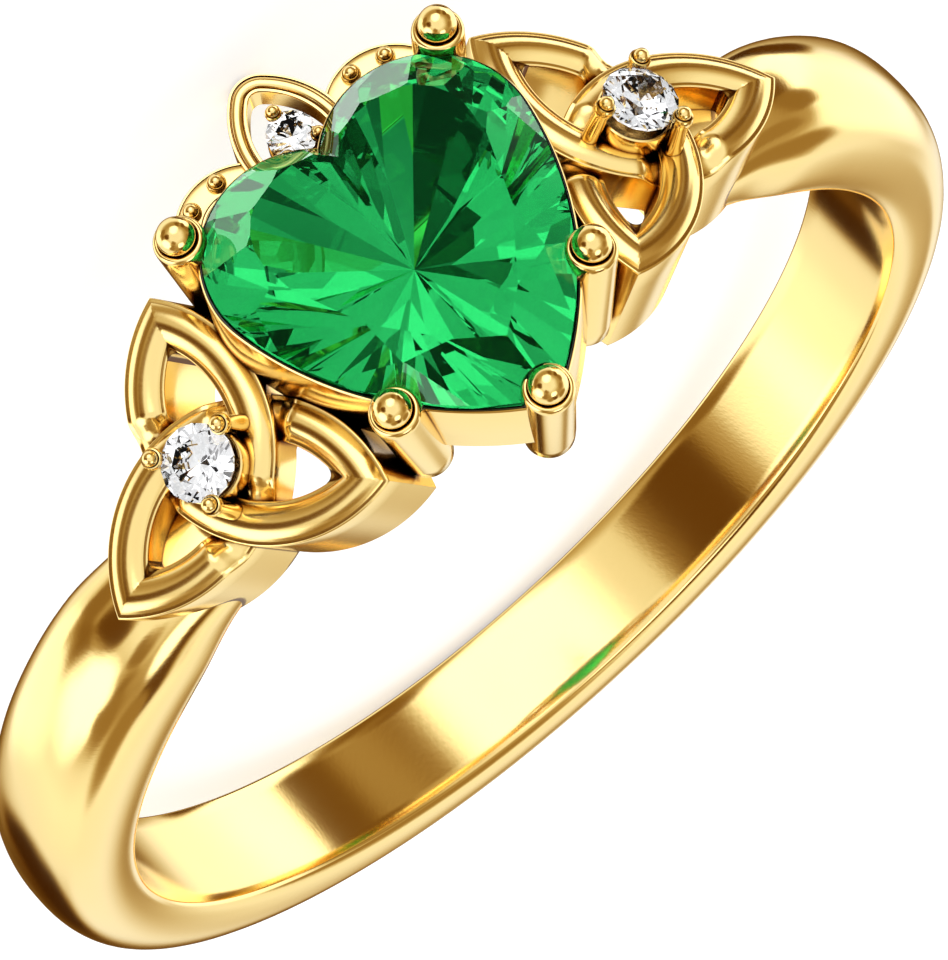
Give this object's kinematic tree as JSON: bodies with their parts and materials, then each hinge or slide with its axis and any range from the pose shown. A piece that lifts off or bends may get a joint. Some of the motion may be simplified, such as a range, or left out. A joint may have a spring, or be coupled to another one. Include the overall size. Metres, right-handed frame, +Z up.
{
  "type": "birthstone ring",
  "caption": "Finger ring with a heart-cut green stone in a pronged basket, trinity-knot shoulders with round clear stones, and a small crown over the heart; lies on its side.",
  "frame": {"origin": "on the table under the middle of the ring's box, as it rests on its side", "axes": "+Z up, +Y from the head towards the back of the finger, +X along the head from the right knot to the left knot as seen from above the heart's point"},
  "size_m": [0.0204, 0.0226, 0.0083],
  "materials": {
    "gold": "polished yellow gold",
    "green_stone": "faceted, transparent green",
    "clear_stone": "faceted, colourless"
  },
  "bodies": {
    "root": {"ring_body": "gold", "heart_stone": "green_stone", "knot_stone_left": "clear_stone", "knot_stone_right": "clear_stone", "crown_stone": "clear_stone"}
  },
  "joints": []
}
